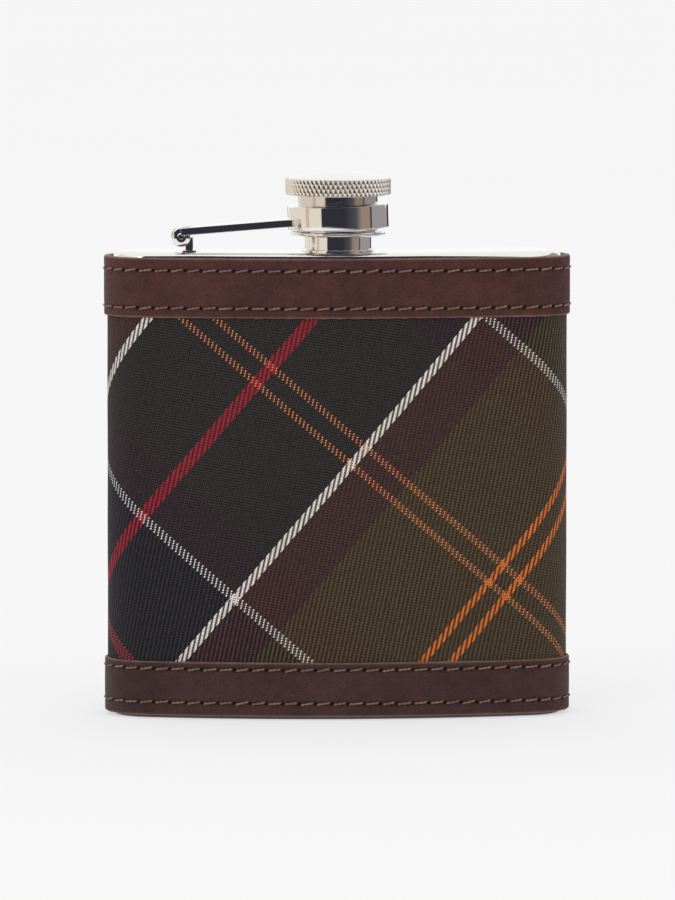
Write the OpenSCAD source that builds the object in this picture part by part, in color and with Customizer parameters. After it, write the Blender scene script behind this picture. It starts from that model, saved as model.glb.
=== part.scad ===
// Hip flask: a bent steel bottle in a cloth and leather wrap, with a hinged captive screw cap.
// Millimetres, +Z up. The origin is under the middle of the foot, and the bulging front faces -Y.

/* [Body] */
// Width over the leather bands
body_w = 95; // [85:1:105]
// Front-to-back thickness over the leather bands
body_t = 20.5; // [19:0.5:24]
// Radius that the flat body is bent to, along the middle of its thickness
bend_r = 140; // [110:5:200]
// Thickness of the steel sheet
steel_t = 0.8; // [0.6:0.1:1]
// Radius of the rounded edge of the top plate
shoulder_r = 1.7; // [1:0.1:1.7]
// Height of the steel shoulder that shows above the wrap
shoulder_rise = 1; // [0.4:0.1:1.5]
// Thickness of the base plate, which is the foot
foot_h = 0.7; // [0.6:0.1:1.5]
// How far the foot stands in from the body wall
foot_inset = 0.3; // [0.1:0.1:0.6]

/* [Wrap] */
// Height of the whole wrap, from the foot to the top of the upper band
wrap_h = 93; // [80:0.5:105]
// Height of the lower leather band
bottom_band_h = 11; // [8:0.1:16]
// Height of the upper leather band
top_band_h = 12.1; // [8:0.1:16]
// Thickness of the leather
leather_t = 1.3; // [1:0.1:1.6]
// Thickness of the cloth
fabric_t = 0.7; // [0.5:0.1:0.9]
// Thickness of the lining between the cloth and the steel
lining_t = 0.5; // [0.3:0.1:0.8]
// Length of cloth tucked behind each leather band
tuck = 2; // [1:0.5:4]

/* [Stitching] */
// Distance from one stitch to the next
stitch_pitch = 3.3; // [2.5:0.05:5]
// Length of one stitch
stitch_l = 3; // [1.5:0.1:3.1]
// Radius of the thread
thread_r = 0.3; // [0.15:0.05:0.4]
// Slope of one stitch from the row
stitch_slope = 8; // [0:1:20]
// How far a thread stands out of the leather
thread_proud = 0.12; // [0:0.02:0.2]

/* [Neck] */
// Radius of the hole through the neck
neck_bore_r = 5.6; // [5.2:0.1:5.8]
// Height of the neck above the top plate
neck_h = 9.5; // [9:0.1:10]
// Height of the plain part of the neck below its thread
neck_plain_h = 3.2; // [2.5:0.1:3.2]
// Radius of the ring round the foot of the neck
base_ring_r = 7.4; // [7.1:0.1:9]
// Height of the ring round the foot of the neck
base_ring_h = 0.6; // [0.4:0.1:1]

/* [Thread] */
// Outer radius of the thread on the neck
thread_major_r = 6.7; // [6.6:0.05:6.75]
// Radius of the neck between its thread ridges
thread_minor_r = 6.2; // [6.1:0.05:6.3]
// Distance from one thread ridge to the next
thread_pitch = 2; // [1.8:0.1:2.2]
// Ridges on the neck
neck_ridges = 3; // [1:1:3]
// Radial gap between the two threads
thread_gap = 0.15; // [0.1:0.05:0.2]

/* [Cap] */
// Height of the cap's underside above the top plate
cap_underside_h = 11.4; // [11:0.1:13]
// Radius over the knurls
knurl_r = 10.7; // [10.4:0.1:12]
// Number of knurls
knurls = 66; // [40:2:90]
// Depth of the knurls
knurl_depth = 0.4; // [0.2:0.05:0.6]
// Height of the knurled rim, with its bevels
rim_h = 3.5; // [2.5:0.1:5]
// Rise of the domed top above the rim
dome_rise = 1.5; // [0.5:0.1:3]
// Outer radius of the threaded insert
insert_r = 8; // [7.8:0.1:8.2]
// Radius of the retaining flange at the mouth of the cap
flange_r = 9.5; // [9:0.1:10]
// Thickness of the retaining flange
flange_t = 0.9; // [0.6:0.1:1]
// Height of the flange's underside above the top plate
flange_lift = 3.25; // [3.25:0.05:3.6]
// Thickness of the sealing disc
seal_t = 0.95; // [0.6:0.05:1.1]

/* [Captive ring and hinge] */
// Outer radius of the captive ring
ring_r = 10.2; // [9.9:0.1:11]
// Radial gap between the captive ring and the cap
ring_gap = 0.25; // [0.2:0.05:0.4]
// Height of the captive ring
ring_h = 4.9; // [3:0.1:5]
// Height of the ring's underside above the top plate
ring_lift = 4.6; // [4.5:0.05:5]
// Distance from the neck to the hinge pin
hinge_reach = 31.9; // [28:0.1:34]
// Height of the hinge pin above the top plate
hinge_lift = 3; // [2.8:0.1:3.4]
// Outer radius of the hinge knuckles
knuckle_r = 1.87; // [1.6:0.01:2]
// Radius of the hinge pin
pin_r = 0.65; // [0.5:0.05:0.8]
// Radial running gap between the pin and the arm
pin_gap = 0.05; // [0.03:0.01:0.08]
// Width of each knuckle of the arm
arm_knuckle_w = 2.5; // [2:0.1:3]
// Width of the bracket's knuckle
bracket_knuckle_w = 2.3; // [2:0.1:3]
// Gap between neighbouring knuckles
knuckle_gap = 0.1; // [0.05:0.05:0.2]
// Thickness of the arm
arm_t = 1.5; // [1:0.05:1.6]
// Slope of the arm, rising towards the cap
arm_rise = 4.5; // [3:0.5:6]

/* [Hidden] */

$fn = 96;
arc_fn = 720;
corner_step = 15;
eps = 0.01;

// Plan of the body: an arc of a thick ring with a half-round end on each side
half_t = body_t / 2;
end_x = body_w / 2 - half_t;
bend_a = asin(end_x / bend_r);
sag = bend_r * (1 - cos(bend_a));
mid_y = -sag / 2;
bend_y = mid_y + bend_r;
end_y = bend_y - bend_r * cos(bend_a);

// Depth of each layer below the outer face of the leather
leather_in = leather_t;
fabric_out = leather_t - fabric_t;
steel_out = leather_t + lining_t;
steel_in = steel_out + steel_t;

// Heights
wrap_top = foot_h + wrap_h;
plate_z = wrap_top + shoulder_rise;
wall_top = plate_z - shoulder_r - steel_t;
bottom_band_top = foot_h + bottom_band_h;
top_band_bottom = wrap_top - top_band_h;
lining_drop = 0.5;

// Stitch rows, measured from the near edge of each band
top_upper_row = wrap_top - 2.5;
top_lower_row = top_band_bottom + 2;
bottom_upper_row = bottom_band_top - 1.45;
bottom_lower_row = foot_h + 2.7;

// Neck, cap and hinge
neck_rim = plate_z + neck_h;
cap_z = plate_z + cap_underside_h;
flange_z = plate_z + flange_lift;
ring_z = plate_z + ring_lift;
insert_root_r = thread_major_r + thread_gap;
insert_crest_r = thread_minor_r + thread_gap;
seal_slack = 0.05;
insert_roof = neck_rim + seal_t + seal_slack;
plug_h = 1.8;
ridge_base = 1.2;
ridge_crest = 0.5;
rim_bevel = 0.4;
knurl_foot = 0.1;
dome_steps = 8;
ring_bevel = 0.4;
cap_wall = 1.2;
hinge_x = -hinge_reach;
hinge_z = plate_z + hinge_lift;
knuckle_span = bracket_knuckle_w + 2 * (knuckle_gap + arm_knuckle_w);
bracket_foot = [2.8, 4.4, 0.3];
bracket_post = [1.7, bracket_knuckle_w];
arm_flare = 0.9;
arm_flare_l = 4;
pin_recess = 0.15;

// ---------- shared shapes ----------

// Carries a half-section, drawn at x >= 0 with its outer side to the right, round the bent plan
module plan_sweep() {
    translate([0, bend_y, 0])
        rotate([0, 0, -90 - bend_a])
            rotate_extrude(angle = 2 * bend_a, $fn = arc_fn)
                translate([bend_r, 0]) {
                    children();
                    mirror([1, 0]) children();
                }
    for (side = [-1, 1])
        translate([side * end_x, end_y, 0])
            rotate([0, 0, side * bend_a - side * 90])
                rotate_extrude(angle = 180)
                    children();
}

// Section of a wall that lies between two depths below the leather's face
module wall_section(out, in, z0, z1) {
    translate([half_t - in, z0])
        square([in - out, z1 - z0]);
}

// Points of a rounded corner, at the given directions from its centre
function corner_points(centre, r, directions) =
    [for (a = directions) centre + r * [cos(a), sin(a)]];

// Thread ridges as plain rings, with their feet on one radius and their crests on another
module ridges(count, first_z, foot_r, crest_r) {
    sink = foot_r > crest_r ? eps : -eps;
    rotate_extrude()
        for (i = [0 : count - 1])
            translate([0, first_z + i * thread_pitch])
                polygon([
                    [foot_r + sink, -ridge_base / 2],
                    [crest_r, -ridge_crest / 2],
                    [crest_r, ridge_crest / 2],
                    [foot_r + sink, ridge_base / 2]
                ]);
}

// A ring with the same bevel on its outer corners
module bevelled_ring(outer_r, inner_r, h, bevel) {
    difference() {
        rotate_extrude()
            polygon([
                [0, 0],
                [outer_r - bevel, 0],
                [outer_r, bevel],
                [outer_r, h - bevel],
                [outer_r - bevel, h],
                [0, h]
            ]);
        translate([0, 0, -1])
            cylinder(h = h + 2, r = inner_r);
    }
}

// ---------- stitch rows ----------

front_l = (bend_r + half_t) * bend_a * PI / 90;
end_l = half_t * PI;
back_l = (bend_r - half_t) * bend_a * PI / 90;
around_l = front_l + back_l + 2 * end_l;
row_count = round(around_l / stitch_pitch);

// Heading of the outline at a length along it, starting at the left end of the front
function heading(s) =
    s < front_l ? -bend_a + 2 * bend_a * s / front_l :
    s < front_l + end_l ? bend_a + 180 * (s - front_l) / end_l :
    s < front_l + end_l + back_l ? 180 + bend_a - 2 * bend_a * (s - front_l - end_l) / back_l :
    180 - bend_a + 180 * (s - front_l - end_l - back_l) / end_l;

// Centre and radius of the arc that holds that length
function arc_of(s) =
    s < front_l ? [0, bend_y, bend_r + half_t] :
    s < front_l + end_l ? [end_x, end_y, half_t] :
    s < front_l + end_l + back_l ? [0, bend_y, -(bend_r - half_t)] :
    [-end_x, end_y, half_t];

// Moves its children onto the outline, in by a depth, with their X along the outline
module on_outline(s, depth) {
    a = heading(s);
    arc = arc_of(s);
    r = arc[2] - depth;
    translate([arc[0] + r * sin(a), arc[1] - r * cos(a), 0])
        rotate([0, 0, a])
            children();
}

// One thread lying along X, sloping up to the right
module stitch(length, slope) {
    rotate([0, 90 - slope, 0])
        cylinder(h = length, r = thread_r, center = true, $fn = 24);
}

module stitch_row(z) {
    for (i = [0 : row_count - 1])
        on_outline((i + 0.5) * around_l / row_count, thread_r - thread_proud)
            translate([0, 0, z])
                stitch(stitch_l, stitch_slope);
}

// ---------- steel bottle ----------

module body_wall() {
    color([0.62, 0.60, 0.58])
        plan_sweep()
            wall_section(steel_out, steel_in, foot_h, wall_top);
}

module top_plate() {
    half_w = half_t - steel_out;
    corner = [half_w - shoulder_r, plate_z - shoulder_r];
    color([0.86, 0.85, 0.83])
        difference() {
            plan_sweep()
                polygon(concat(
                    [[0, plate_z - steel_t], [0, plate_z]],
                    corner_points(corner, shoulder_r, [90 : -corner_step : 0]),
                    [[half_w, wall_top], [half_w - steel_t, wall_top]],
                    corner_points(corner, shoulder_r - steel_t, [0 : corner_step : 90])
                ));
            translate([0, mid_y, wall_top])
                cylinder(h = 2 * shoulder_r + steel_t, r = thread_major_r);
        }
}

module base_plate() {
    half_w = half_t - steel_out - foot_inset;
    edge_r = foot_h / 2;
    color([0.55, 0.53, 0.51])
        plan_sweep()
            polygon(concat(
                [[0, foot_h], [0, 0]],
                corner_points([half_w - edge_r, edge_r], edge_r, [-90 : corner_step : 0]),
                [[half_w, foot_h]]
            ));
}

module neck_tube() {
    bottom = plate_z - steel_t;
    first_ridge = flange_z + ridge_base / 2 + eps;
    color([0.84, 0.82, 0.80])
        translate([0, mid_y, 0])
            difference() {
                union() {
                    translate([0, 0, bottom])
                        cylinder(h = steel_t + neck_plain_h, r = thread_major_r);
                    translate([0, 0, bottom])
                        cylinder(h = neck_rim - bottom, r = thread_minor_r);
                    ridges(neck_ridges, first_ridge, thread_minor_r, thread_major_r);
                }
                translate([0, 0, bottom - 1])
                    cylinder(h = neck_rim - bottom + 2, r = neck_bore_r);
            }
}

module neck_base_ring() {
    color([0.80, 0.77, 0.73])
        translate([0, mid_y, plate_z])
            difference() {
                cylinder(h = base_ring_h, r1 = base_ring_r, r2 = base_ring_r - base_ring_h / 2);
                translate([0, 0, -1])
                    cylinder(h = base_ring_h + 2, r = thread_major_r);
            }
}

// ---------- hinge ----------

// Moves its children to the hinge pin, with their Z along it and the middle of the hinge at 0
module at_hinge() {
    translate([hinge_x, mid_y, hinge_z])
        rotate([90, 0, 0])
            children();
}

module hinge_bracket() {
    post_x = hinge_x + 0.8;
    color([0.78, 0.76, 0.73])
        difference() {
            union() {
                at_hinge()
                    cylinder(h = bracket_knuckle_w, r = knuckle_r, center = true);
                translate([post_x, mid_y - bracket_post[1] / 2, plate_z])
                    cube([bracket_post[0], bracket_post[1], hinge_lift]);
                translate([post_x + bracket_post[0] / 2, mid_y, plate_z + bracket_foot[2] / 2])
                    cube(bracket_foot, center = true);
            }
            at_hinge()
                cylinder(h = bracket_knuckle_w + 2, r = pin_r, center = true);
        }
}

module hinge_pin() {
    color([0.45, 0.43, 0.41])
        at_hinge()
            cylinder(h = knuckle_span - 2 * pin_recess, r = pin_r, center = true);
}

module hinge_arm() {
    reach = hinge_reach - 8.5;
    notch = knuckle_r + 0.25;
    notch_w = bracket_knuckle_w + 2 * knuckle_gap;
    half_w = knuckle_span / 2;
    color([0.82, 0.80, 0.77])
        difference() {
            union() {
                at_hinge()
                    cylinder(h = knuckle_span, r = knuckle_r, center = true);
                translate([hinge_x, mid_y, hinge_z])
                    rotate([0, -arm_rise, 0])
                        translate([0, 0, knuckle_r - arm_t])
                            linear_extrude(arm_t)
                                polygon([
                                    [0, -half_w],
                                    [reach - arm_flare_l, -half_w],
                                    [reach, -half_w - arm_flare],
                                    [reach, half_w + arm_flare],
                                    [reach - arm_flare_l, half_w],
                                    [0, half_w]
                                ]);
            }
            translate([hinge_x - notch, mid_y - notch_w / 2, hinge_z - notch])
                cube([2 * notch, notch_w, 2 * notch]);
            at_hinge()
                cylinder(h = knuckle_span + 2, r = pin_r + pin_gap, center = true);
            translate([0, mid_y, plate_z])
                cylinder(h = ring_lift + ring_h, r = ring_r);
        }
}

module captive_ring() {
    color([0.88, 0.86, 0.84])
        translate([0, mid_y, ring_z])
            bevelled_ring(ring_r, insert_r + ring_gap, ring_h, ring_bevel);
}

// ---------- cap ----------

// Plan of the knurled rim, as a ring round the head's core
module knurl_plan(inner_r) {
    difference() {
        polygon([
            for (i = [0 : 2 * knurls - 1])
                let (a = 180 * i / knurls, r = knurl_r - (i % 2) * knurl_depth)
                    [r * cos(a), r * sin(a)]
        ]);
        circle(inner_r);
    }
}

module cap_head() {
    core_r = knurl_r - knurl_depth - knurl_foot;
    shell_r = insert_r - cap_wall;
    ceiling = rim_h + dome_rise - 2 * cap_wall;
    color([0.90, 0.89, 0.87])
        translate([0, mid_y, cap_z]) {
            rotate_extrude()
                polygon(concat(
                    [
                        [0, ceiling],
                        [shell_r, ceiling],
                        [shell_r, plug_h],
                        [insert_r, plug_h],
                        [insert_r, 0],
                        [core_r - 2 * rim_bevel, 0],
                        [core_r, rim_bevel]
                    ],
                    [
                        for (i = [dome_steps : -1 : 0])
                            let (x = i / dome_steps)
                                [core_r * x, rim_h + dome_rise * (1 - x * x)]
                    ]
                ));
            translate([0, 0, rim_bevel])
                linear_extrude(rim_h - 2 * rim_bevel)
                    knurl_plan(core_r - cap_wall);
        }
}

module cap_thread_insert() {
    first_ridge = flange_z + ridge_base / 2 + thread_pitch / 2 + eps;
    color([0.70, 0.69, 0.67])
        translate([0, mid_y, 0])
            union() {
                difference() {
                    translate([0, 0, flange_z])
                        cylinder(h = cap_z + plug_h - flange_z, r = insert_r);
                    translate([0, 0, flange_z - 1])
                        cylinder(h = insert_roof - flange_z + 1, r = insert_root_r);
                }
                ridges(neck_ridges - 1, first_ridge, insert_root_r, insert_crest_r);
            }
}

module cap_seal() {
    color([0.12, 0.12, 0.12])
        translate([0, mid_y, neck_rim + seal_slack])
            cylinder(h = seal_t, r = insert_root_r);
}

module cap_retaining_flange() {
    color([0.80, 0.78, 0.76])
        translate([0, mid_y, flange_z])
            bevelled_ring(flange_r, insert_r, flange_t, flange_t / 4);
}

// ---------- wrap ----------

module wrap_lining() {
    color([0.25, 0.23, 0.21])
        plan_sweep()
            wall_section(leather_in, steel_out, foot_h + lining_drop, wrap_top - lining_drop);
}

module fabric_wrap() {
    color([0.22, 0.23, 0.22])
        plan_sweep()
            wall_section(fabric_out, leather_in, bottom_band_top - tuck, top_band_bottom + tuck);
}

module top_band() {
    color([0.29, 0.17, 0.15])
        plan_sweep() {
            wall_section(0, leather_in, top_band_bottom + tuck, wrap_top);
            wall_section(0, fabric_out, top_band_bottom, top_band_bottom + tuck);
        }
}

module bottom_band() {
    color([0.27, 0.17, 0.15])
        plan_sweep() {
            wall_section(0, leather_in, foot_h, bottom_band_top - tuck);
            wall_section(0, fabric_out, bottom_band_top - tuck, bottom_band_top);
        }
}

module band_stitching(z) {
    color([0.60, 0.49, 0.42])
        stitch_row(z);
}

// Short cross stitches that close the two bands where their ends meet, in the middle of the back
module back_seam_stitching() {
    band_rows = [
        [bottom_lower_row, bottom_upper_row],
        [top_lower_row, top_upper_row]
    ];
    per_band = 4;
    color([0.60, 0.49, 0.42])
        for (rows = band_rows, i = [0.5 : per_band - 0.5])
            on_outline(front_l + end_l + back_l / 2, thread_r - thread_proud)
                translate([0, 0, rows[0] + (rows[1] - rows[0]) * i / per_band])
                    stitch(stitch_l, 0);
}

body_wall();
top_plate();
base_plate();
neck_tube();
neck_base_ring();
hinge_bracket();
hinge_pin();
hinge_arm();
captive_ring();
cap_head();
cap_thread_insert();
cap_seal();
cap_retaining_flange();
wrap_lining();
fabric_wrap();
top_band();
bottom_band();
band_stitching(top_upper_row);  // top_band_upper_stitching
band_stitching(top_lower_row);  // top_band_lower_stitching
band_stitching(bottom_upper_row);  // bottom_band_upper_stitching
band_stitching(bottom_lower_row);  // bottom_band_lower_stitching
back_seam_stitching();
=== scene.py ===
"""Looks of the hip flask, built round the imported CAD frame. All lengths are in metres."""

import math

import bmesh
import bpy
import numpy as np
from mathutils import Matrix, Vector


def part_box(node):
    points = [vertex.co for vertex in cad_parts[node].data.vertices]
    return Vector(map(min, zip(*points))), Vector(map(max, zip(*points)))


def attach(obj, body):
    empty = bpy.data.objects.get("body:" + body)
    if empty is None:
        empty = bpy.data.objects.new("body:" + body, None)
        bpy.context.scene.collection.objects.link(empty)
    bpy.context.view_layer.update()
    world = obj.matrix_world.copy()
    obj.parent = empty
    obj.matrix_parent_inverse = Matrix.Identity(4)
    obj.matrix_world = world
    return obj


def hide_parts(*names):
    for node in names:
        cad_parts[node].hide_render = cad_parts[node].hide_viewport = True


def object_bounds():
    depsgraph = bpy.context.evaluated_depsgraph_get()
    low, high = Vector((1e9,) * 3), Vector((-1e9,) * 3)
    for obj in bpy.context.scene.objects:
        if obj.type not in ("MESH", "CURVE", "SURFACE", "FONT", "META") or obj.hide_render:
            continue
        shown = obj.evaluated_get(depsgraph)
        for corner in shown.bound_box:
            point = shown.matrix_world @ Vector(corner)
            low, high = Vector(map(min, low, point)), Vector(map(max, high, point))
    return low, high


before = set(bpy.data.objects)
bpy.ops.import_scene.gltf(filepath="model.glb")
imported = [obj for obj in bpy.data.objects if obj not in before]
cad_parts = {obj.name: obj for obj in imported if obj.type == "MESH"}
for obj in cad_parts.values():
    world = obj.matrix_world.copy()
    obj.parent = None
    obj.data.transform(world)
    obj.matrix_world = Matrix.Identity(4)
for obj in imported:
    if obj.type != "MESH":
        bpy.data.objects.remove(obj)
cad_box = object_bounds()

MM = 0.001
SAME_PLACE = 1e-7

# ---------- sizes that the CAD model is driven by ----------

BODY_T = 20.5 * MM
BEND_R = 140 * MM
LEATHER_T = 1.3 * MM
FABRIC_T = 0.7 * MM
LINING_T = 0.5 * MM
STEEL_T = 0.8 * MM
SHOULDER_R = 1.7 * MM
FOOT_INSET = 0.3 * MM
TUCK = 2 * MM
STITCHES = 65
STITCH_L = 3.0 * MM
STITCH_SLOPE = math.radians(8)
STITCHES_PER_BAND_SEAM = 4
THREAD_PITCH = 2 * MM
STEPS_A_TURN = 72
KNURLS = 66
STEPS_A_KNURL = 10


def span(node):
    """The lowest and highest Z of a CAD node."""
    low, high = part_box(node)
    return low.z, high.z


def radius(node):
    """Half the width of a round CAD node."""
    low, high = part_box(node)
    return (high.x - low.x) / 2


# ---------- plan of the body ----------

HALF_T = BODY_T / 2
END_X = (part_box("top_band")[1].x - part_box("top_band")[0].x) / 2 - HALF_T
BEND_A = math.asin(END_X / BEND_R)
MID_Y = -BEND_R * (1 - math.cos(BEND_A)) / 2
BEND_Y = MID_Y + BEND_R
END_Y = BEND_Y - BEND_R * math.cos(BEND_A)
HALF_BACK = (BEND_R - HALF_T) * BEND_A
END_L = math.pi * HALF_T
FRONT_L = (BEND_R + HALF_T) * 2 * BEND_A
AROUND = 2 * HALF_BACK + 2 * END_L + FRONT_L

KNOTS = np.cumsum([0, HALF_BACK, END_L, FRONT_L, END_L, HALF_BACK])
HEADINGS = np.array([
    math.pi, math.pi - BEND_A, 2 * math.pi - BEND_A,
    2 * math.pi + BEND_A, 3 * math.pi + BEND_A, 3 * math.pi,
])


def plan(s, depth):
    """Points at lengths s along the outline, from the middle of the back and by the left side to the
    front, at a depth under the leather's face. Returns x, y and the outward direction."""
    heading = np.interp(s, KNOTS, HEADINGS)
    out_x, out_y = np.sin(heading), -np.cos(heading)
    on_back = (s < KNOTS[1]) | (s > KNOTS[4])
    on_left = (s >= KNOTS[1]) & (s < KNOTS[2])
    on_right = (s > KNOTS[3]) & (s <= KNOTS[4])
    on_end = on_left | on_right
    centre_x = np.where(on_left, -END_X, np.where(on_right, END_X, 0.0))
    centre_y = np.where(on_end, END_Y, BEND_Y)
    r = np.where(on_back, HALF_T - BEND_R, np.where(on_end, HALF_T, BEND_R + HALF_T)) - depth
    return centre_x + r * out_x, centre_y + r * out_y, out_x, out_y


# ---------- mesh helpers ----------


def new_object(name, points, faces, sharp=None):
    """A smooth-shaded mesh object; edges over the sharp angle, in degrees, stay sharp."""
    mesh = bpy.data.meshes.new(name)
    mesh.from_pydata([tuple(p) for p in points], [], [tuple(f) for f in faces])
    mesh.polygons.foreach_set("use_smooth", [True] * len(mesh.polygons))
    if sharp:
        mesh.set_sharp_from_angle(angle=math.radians(sharp))
    mesh.update()
    piece = bpy.data.objects.new(name, mesh)
    bpy.context.scene.collection.objects.link(piece)
    return piece


def set_attribute(piece, name, values, kind="FLOAT"):
    field = "value" if kind == "FLOAT" else "vector"
    attribute = piece.data.attributes.new(name, kind, "POINT")
    attribute.data.foreach_set(field, np.asarray(values, np.float32).ravel())


def grid_faces(rows, columns, wrap_rows, wrap_columns):
    """Quads between the points of a grid, row after row."""
    r = np.arange(rows if wrap_rows else rows - 1)
    c = np.arange(columns if wrap_columns else columns - 1)
    r, c = np.meshgrid(r, c, indexing="ij")
    r1, c1 = (r + 1) % rows, (c + 1) % columns
    quads = [r * columns + c, r1 * columns + c, r1 * columns + c1, r * columns + c1]
    return np.stack([q.ravel() for q in quads], axis=1).tolist()


def rounded_path(corners, steps=6):
    """Closed outline through corners (x, y, radius), with its corners rounded."""
    path = []
    count = len(corners)
    for k, (x, y, r) in enumerate(corners):
        here = Vector((x, y))
        before = (Vector(corners[k - 1][:2]) - here).normalized()
        after = (Vector(corners[(k + 1) % count][:2]) - here).normalized()
        half = before.angle(after) / 2
        if r <= 0:
            path.append((x, y))
            continue
        reach = r / math.tan(half)
        centre = here + (before + after).normalized() * (r / math.sin(half))
        start, end = here + before * reach - centre, here + after * reach - centre
        turn = start.angle_signed(end)
        for i in range(steps + 1):
            spot = centre + Matrix.Rotation(-turn * i / steps, 2) @ start
            path.append((spot.x, spot.y))
    return path


def densify(path, fine, coarse):
    """The same closed outline with a point at least every fine on its outer face, x = 0, and coarse
    elsewhere."""
    dense = []
    for (x0, y0), (x1, y1) in zip(path, path[1:] + path[:1]):
        step = fine if max(x0, x1) < 0.02 * MM else coarse
        parts = max(1, math.ceil(math.hypot(x1 - x0, y1 - y0) / step))
        dense += [(x0 + (x1 - x0) * i / parts, y0 + (y1 - y0) * i / parts) for i in range(parts)]
    return dense


def sweep(name, profile, stations, shape=None, gap=0.0, sharp=None):
    """Sweeps a closed profile of (depth, z) round the body. With a gap it is a strip whose two ends
    face each other in the middle of the back. shape(s, depth, z) may return changed depth and z."""
    open_strip = gap > 0
    s = np.linspace(gap / 2, AROUND - gap / 2, stations) if open_strip else (
        np.arange(stations) * AROUND / stations)
    depth, z = np.array(profile).T
    s, depth = np.meshgrid(s, depth, indexing="ij")
    z = np.broadcast_to(z, s.shape).copy()
    face_depth = depth.copy()
    if shape:
        depth, z = shape(s, depth, z)
    x, y, _, _ = plan(s, depth)
    points = np.stack([x, y, z], axis=-1).reshape(-1, 3)
    faces = grid_faces(stations, len(profile), not open_strip, True)
    if open_strip:
        last = (stations - 1) * len(profile)
        faces.append(list(range(len(profile))))
        faces.append([last + k for k in reversed(range(len(profile)))])
    piece = new_object(name, points, faces, sharp)
    recalculate_normals(piece)
    cloth = np.stack([s - AROUND / 2, z, face_depth], axis=-1)
    set_attribute(piece, "cloth", cloth, "FLOAT_VECTOR")
    return piece


def recalculate_normals(piece):
    bm = bmesh.new()
    bm.from_mesh(piece.data)
    bmesh.ops.recalc_face_normals(bm, faces=bm.faces)
    bm.to_mesh(piece.data)
    bm.free()


def lathe(name, profile, centre, segments=160, sharp=35, axis=None):
    """Turns a closed profile of (radius, z) about Z through centre, or about the Z of a rotation."""
    turn = np.arange(segments) * 2 * math.pi / segments
    r, z = np.array(profile).T
    turn, r = np.meshgrid(turn, r, indexing="ij")
    z = np.broadcast_to(z, r.shape)
    points = np.stack([r * np.cos(turn), r * np.sin(turn), z], axis=-1).reshape(-1, 3)
    if axis is not None:
        points = points @ np.array(axis.to_3x3()).T
    faces = grid_faces(segments, len(profile), True, True)
    piece = new_object(name, points + np.array(centre), faces, sharp)
    weld(piece)
    return piece


def weld(piece):
    """Merges points that lie together, as on an axis, and makes the normals point out."""
    bm = bmesh.new()
    bm.from_mesh(piece.data)
    bmesh.ops.remove_doubles(bm, verts=bm.verts, dist=SAME_PLACE)
    bmesh.ops.dissolve_degenerate(bm, edges=bm.edges, dist=SAME_PLACE)
    bmesh.ops.recalc_face_normals(bm, faces=bm.faces)
    bm.to_mesh(piece.data)
    bm.free()


def join(name, pieces):
    """One object from several, with the first one's materials."""
    bpy.ops.object.select_all(action="DESELECT")
    for piece in pieces:
        piece.select_set(True)
    bpy.context.view_layer.objects.active = pieces[0]
    bpy.ops.object.join()
    pieces[0].name = name
    pieces[0].data.name = name
    return pieces[0]


def rounded_block(name, outline, z0, z1, r, steps=3):
    """A prism on a plan outline of (x, y), with every edge rounded."""
    points = [(x, y, z) for z in (z0, z1) for x, y in outline]
    n = len(outline)
    faces = [list(range(n))[::-1], list(range(n, 2 * n))]
    faces += [[i, (i + 1) % n, n + (i + 1) % n, n + i] for i in range(n)]
    piece = new_object(name, points, faces)
    bm = bmesh.new()
    bm.from_mesh(piece.data)
    bmesh.ops.bevel(
        bm, geom=bm.edges[:], offset=r, segments=steps, profile=0.5, affect="EDGES", clamp_overlap=True)
    bmesh.ops.recalc_face_normals(bm, faces=bm.faces)
    bm.to_mesh(piece.data)
    bm.free()
    for face in piece.data.polygons:
        heights = [piece.data.vertices[i].co.z for i in face.vertices]
        is_side = max(heights) - min(heights) > 0.5 * (z1 - z0)
        face.use_smooth = not (is_side or abs(face.normal.z) > 0.999)
    return piece


def helix_ridge(root_r, crest_r, z0, z1, pitch, base, crest):
    """A thread ridge as a closed tube round Z, which fades out at both ends."""
    turns = (z1 - z0) / pitch
    count = int(turns * STEPS_A_TURN)
    t = np.linspace(0, 1, count)
    fade = np.clip(np.minimum(t, 1 - t) * turns * 5, 0.02, 1)
    angle, middle = t * turns * 2 * math.pi, z0 + t * (z1 - z0)
    top = root_r + (crest_r - root_r) * fade
    sunk = root_r - 0.1 * (crest_r - root_r)
    rows = []
    for a, zc, rt, f in zip(angle, middle, top, fade):
        foot, tip = base / 2 * f, crest / 2 * f
        section = [(sunk, -foot), (rt, -tip), (rt, tip), (sunk, foot)]
        rows += [(r * math.cos(a), r * math.sin(a), zc + dz) for r, dz in section]
    faces = grid_faces(count, 4, False, True)
    faces += [[0, 1, 2, 3], [4 * count - 1, 4 * count - 2, 4 * count - 3, 4 * count - 4]]
    return np.array(rows), faces


# ---------- material helpers ----------


def srgb(red, green, blue):
    """Linear colour of an 8-bit display colour."""
    def linear(c):
        c /= 255
        return c / 12.92 if c <= 0.04045 else ((c + 0.055) / 1.055) ** 2.4
    return (linear(red), linear(green), linear(blue), 1.0)


def share(colour, part):
    """A part of a colour's light."""
    return tuple(c * part for c in colour[:3]) + (1,)


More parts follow.
